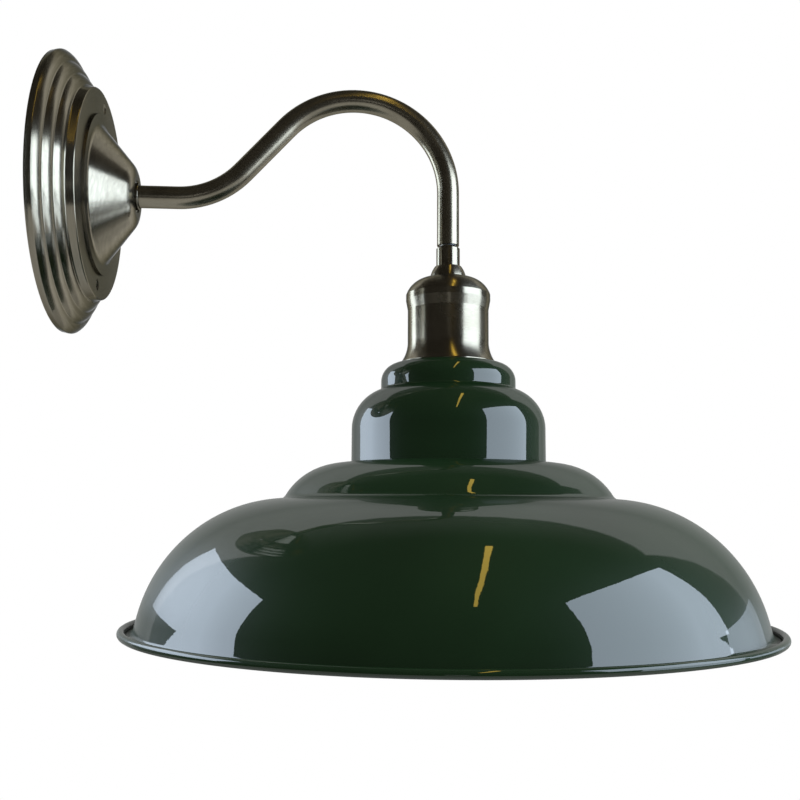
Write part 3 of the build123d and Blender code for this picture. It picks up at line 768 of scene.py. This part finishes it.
def moulded_nylon():
    """Natural white nylon, slightly translucent, with a fine spark-eroded grain."""
    mat = bpy.data.materials.new("natural nylon")
    mat.use_nodes = True
    nodes = mat.node_tree.nodes
    link = mat.node_tree.links.new
    nylon = nodes["Principled BSDF"]
    nylon.inputs["Subsurface Weight"].default_value = 0.2
    nylon.inputs["Subsurface Scale"].default_value = 0.002
    place = nodes.new("ShaderNodeTexCoord")
    grain = nodes.new("ShaderNodeTexNoise")
    grain.inputs["Scale"].default_value = 900
    grain.inputs["Detail"].default_value = 3
    link(place.outputs["Object"], grain.inputs["Vector"])
    tone = nodes.new("ShaderNodeValToRGB")
    tone.color_ramp.elements[0].color = (0.70, 0.69, 0.62, 1)
    tone.color_ramp.elements[1].color = (0.82, 0.81, 0.76, 1)
    link(grain.outputs["Fac"], tone.inputs["Fac"])
    link(tone.outputs["Color"], nylon.inputs["Base Color"])
    dull = nodes.new("ShaderNodeMapRange")
    dull.inputs["To Min"].default_value = 0.38
    dull.inputs["To Max"].default_value = 0.55
    link(grain.outputs["Fac"], dull.inputs["Value"])
    link(dull.outputs["Result"], nylon.inputs["Roughness"])
    spark = nodes.new("ShaderNodeBump")
    spark.inputs["Strength"].default_value = 0.3
    spark.inputs["Distance"].default_value = 0.00003
    link(grain.outputs["Fac"], spark.inputs["Height"])
    link(spark.outputs["Normal"], nylon.inputs["Normal"])
    return mat


dress(moulded_nylon(), "terminal_block")
dress(brass, "block_inserts")
grub_low, grub_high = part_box("block_screws")
grub_radius = 0.0013
grub_length = grub_high.x - grub_low.x
grub_head = 0.0009
bm = bmesh.new()
for grub_y in (grub_low.y + grub_radius, grub_high.y - grub_radius):
    for grub_z in (grub_low.z + grub_radius, 0, grub_high.z - grub_radius):
        place = (grub_low.x + grub_head, grub_y, grub_z)
        shank = grub_length - grub_head
        slotted_screw(bm, place, (-1, 0, 0), grub_radius, shank, grub_radius, grub_head)
make_piece("grub_screws", bm, "block_screws", "zinc_steel", zinc)

# ---------------------------------------------------------------- leads
# Three PVC-covered leads run from the block through the arm to the lampholder: brown,
# blue, and green with a yellow stripe down each side.


def lead_cover(name, colour, stripe=None):
    """Smooth PVC, with a stripe along the sides where the lead has one."""
    mat = bpy.data.materials.new(name)
    mat.use_nodes = True
    nodes = mat.node_tree.nodes
    link = mat.node_tree.links.new
    pvc = nodes["Principled BSDF"]
    place = nodes.new("ShaderNodeTexCoord")
    bloom = nodes.new("ShaderNodeTexNoise")
    bloom.inputs["Scale"].default_value = 300
    bloom.inputs["Detail"].default_value = 4
    link(place.outputs["Object"], bloom.inputs["Vector"])
    tone = nodes.new("ShaderNodeValToRGB")
    tone.color_ramp.elements[0].color = (*[c * 0.8 for c in colour], 1)
    tone.color_ramp.elements[1].color = (*[min(1, c * 1.2) for c in colour], 1)
    link(bloom.outputs["Fac"], tone.inputs["Fac"])
    link(tone.outputs["Color"], pvc.inputs["Base Color"])
    if stripe:
        # The arm bends in one upright plane, so a side keeps its face to Y all along it.
        facing = nodes.new("ShaderNodeSeparateXYZ")
        link(place.outputs["Normal"], facing.inputs["Vector"])
        side = nodes.new("ShaderNodeMath")
        side.operation = "ABSOLUTE"
        link(facing.outputs["Y"], side.inputs[0])
        edge = nodes.new("ShaderNodeMath")
        edge.operation = "GREATER_THAN"
        edge.inputs[1].default_value = 0.72
        link(side.outputs["Value"], edge.inputs[0])
        striped = nodes.new("ShaderNodeMix")
        striped.data_type = "RGBA"
        striped.inputs["B"].default_value = (*stripe, 1)
        link(edge.outputs["Value"], striped.inputs["Factor"])
        link(tone.outputs["Color"], striped.inputs["A"])
        link(striped.outputs["Result"], pvc.inputs["Base Color"])
    dull = nodes.new("ShaderNodeMapRange")
    dull.inputs["To Min"].default_value = 0.3
    dull.inputs["To Max"].default_value = 0.45
    link(bloom.outputs["Fac"], dull.inputs["Value"])
    link(dull.outputs["Result"], pvc.inputs["Roughness"])
    return mat


dress(lead_cover("brown PVC", (0.115, 0.042, 0.018)), "live_lead")
dress(lead_cover("blue PVC", (0.02, 0.105, 0.36)), "neutral_lead")
dress(lead_cover("green and yellow PVC", (0.03, 0.26, 0.05), (0.72, 0.58, 0.03)), "earth_lead")

# ---------------------------------------------------------------- camera
# The camera stands in front of the arm, a little below the shade's crown, and looks up
# slightly, as for the photograph.

view = bpy.data.cameras.new("camera")
view.sensor_width = 36
view.lens = 45
view.clip_start = 0.01
camera = bpy.data.objects.new("camera", view)
camera.location = (0.1558, -0.5708, -0.1851)
camera.rotation_euler = [math.radians(angle) for angle in (96.818, -0.284, -3.873)]
bpy.context.scene.collection.objects.link(camera)
bpy.context.scene.camera = camera
bpy.context.scene.view_settings.view_transform = "Standard"

# ---------------------------------------------------------------- studio light
# Softboxes stand close on either side of the shade and a thin gold strip hangs level
# over its front. A white backdrop stands behind it, in a dim room.


def panel(name, place, turn, width, height, strength, colour):
    """Flat soft light of a plain radiance that the camera itself doesn't see."""
    lamp = bpy.data.lights.new(name, "AREA")
    lamp.shape = "RECTANGLE"
    lamp.size = width
    lamp.size_y = height
    lamp.energy = strength * math.pi * width * height
    lamp.color = colour
    stand = bpy.data.objects.new(name, lamp)
    stand.location = place
    stand.rotation_euler = turn
    stand.visible_camera = False
    bpy.context.scene.collection.objects.link(stand)


def softbox(name, azimuth, distance, low, high, width, strength):
    """Upright softbox that faces the lamp's axis; its azimuth is measured from +X."""
    away = Vector((math.cos(math.radians(azimuth)), math.sin(math.radians(azimuth)), 0))
    place = Vector((lamp_x, 0, (low + high) / 2)) + away * distance
    turn = away.to_track_quat("Z", "Y").to_euler()
    panel(name, place, turn, width, high - low, strength, (0.72, 0.84, 1.0))


softbox("right softbox", -25, 0.75, -0.13, 0.44, 0.8, 5.4)
softbox("far right softbox", 14, 0.72, -0.28, -0.13, 0.36, 3.6)
softbox("left softbox", 167, 0.75, -0.15, 0.27, 0.76, 6.2)
softbox("low right softbox", -22, 0.8, -0.42, -0.15, 0.6, 3.4)
gold_turn = (0, 0, math.radians(-4.2))
panel("gold strip", (0.365, -0.735, 1.0), gold_turn, 0.04, 1.23, 5.5, (1.0, 0.68, 0.11))

floor_mesh = bpy.data.meshes.new("floor")
bm = bmesh.new()
bmesh.ops.create_grid(bm, x_segments=1, y_segments=1, size=2.6)
bmesh.ops.translate(bm, verts=bm.verts[:], vec=(lamp_x, 0.1, -1.3))
bm.to_mesh(floor_mesh)
bm.free()
floor = bpy.data.objects.new("floor", floor_mesh)
bpy.context.scene.collection.objects.link(floor)
pale = bpy.data.materials.new("pale floor")
pale.use_nodes = True
cloth = pale.node_tree.nodes["Principled BSDF"]
cloth.inputs["Base Color"].default_value = (0.55, 0.55, 0.54, 1)
cloth.inputs["Roughness"].default_value = 0.9
cloth.inputs["Specular IOR Level"].default_value = 0.1
floor_mesh.materials.append(pale)

world = bpy.data.worlds.new("studio")
bpy.context.scene.world = world
world.use_nodes = True
nodes = world.node_tree.nodes
link = world.node_tree.links.new
place = nodes.new("ShaderNodeTexCoord")
split = nodes.new("ShaderNodeSeparateXYZ")
link(place.outputs["Generated"], split.inputs["Vector"])
# The room is dim in front and paler behind, where the ceiling catches the lamps.
behind = nodes.new("ShaderNodeMapRange")
behind.interpolation_type = "SMOOTHSTEP"
behind.inputs["From Min"].default_value = 0.1
behind.inputs["From Max"].default_value = 0.5
link(split.outputs["Y"], behind.inputs["Value"])
room = nodes.new("ShaderNodeMix")
room.data_type = "RGBA"
room.inputs["A"].default_value = (0.024, 0.021, 0.015, 1)
room.inputs["B"].default_value = (0.14, 0.14, 0.13, 1)
link(behind.outputs["Result"], room.inputs["Factor"])
# The white backdrop stands square to the photograph's line of sight. It fills the frame
# and reaches about 27 degrees past it on every side.
frame_half_width = 0.43
past_frame = 0.5
sight = nodes.new("ShaderNodeMapping")
sight.inputs["Rotation"].default_value = (math.radians(-6.8), 0, math.radians(3.9))
link(place.outputs["Generated"], sight.inputs["Vector"])
ahead = nodes.new("ShaderNodeSeparateXYZ")
link(sight.outputs["Vector"], ahead.inputs["Vector"])
spread = []
for side in ("X", "Z"):
    size = nodes.new("ShaderNodeMath")
    size.operation = "ABSOLUTE"
    link(ahead.outputs[side], size.inputs[0])
    spread.append(size)
widest = nodes.new("ShaderNodeMath")
widest.operation = "MAXIMUM"
link(spread[0].outputs["Value"], widest.inputs[0])
link(spread[1].outputs["Value"], widest.inputs[1])
reach = nodes.new("ShaderNodeMath")
reach.operation = "MULTIPLY_ADD"
reach.inputs[1].default_value = frame_half_width
reach.inputs[2].default_value = past_frame
link(ahead.outputs["Y"], reach.inputs[0])
inside = nodes.new("ShaderNodeMath")
inside.operation = "SUBTRACT"
link(reach.outputs["Value"], inside.inputs[0])
link(widest.outputs["Value"], inside.inputs[1])
backdrop = nodes.new("ShaderNodeMapRange")
backdrop.inputs["From Max"].default_value = 0.02
link(inside.outputs["Value"], backdrop.inputs["Value"])
studio = nodes.new("ShaderNodeMix")
studio.data_type = "RGBA"
studio.inputs["B"].default_value = (1, 1, 1, 1)
link(backdrop.outputs["Result"], studio.inputs["Factor"])
link(room.outputs["Result"], studio.inputs["A"])
# Soft surfaces get most of their light from above.
overhead = nodes.new("ShaderNodeMapRange")
overhead.inputs["From Min"].default_value = -1
overhead.inputs["To Min"].default_value = 0.1
overhead.inputs["To Max"].default_value = 1.1
link(split.outputs["Z"], overhead.inputs["Value"])
# Metal and anything clear shows the white backdrop too. The camera sees white on all sides.
ray = nodes.new("ShaderNodeLightPath")
mirrored = nodes.new("ShaderNodeMath")
mirrored.operation = "MAXIMUM"
link(ray.outputs["Is Glossy Ray"], mirrored.inputs[0])
link(ray.outputs["Is Transmission Ray"], mirrored.inputs[1])
lit = nodes.new("ShaderNodeMix")
lit.data_type = "RGBA"
link(mirrored.outputs["Value"], lit.inputs["Factor"])
link(overhead.outputs["Result"], lit.inputs["A"])
link(studio.outputs["Result"], lit.inputs["B"])
shown = nodes.new("ShaderNodeMix")
shown.data_type = "RGBA"
shown.inputs["B"].default_value = (1, 1, 1, 1)
link(ray.outputs["Is Camera Ray"], shown.inputs["Factor"])
link(lit.outputs["Result"], shown.inputs["A"])
link(shown.outputs["Result"], nodes["Background"].inputs["Color"])
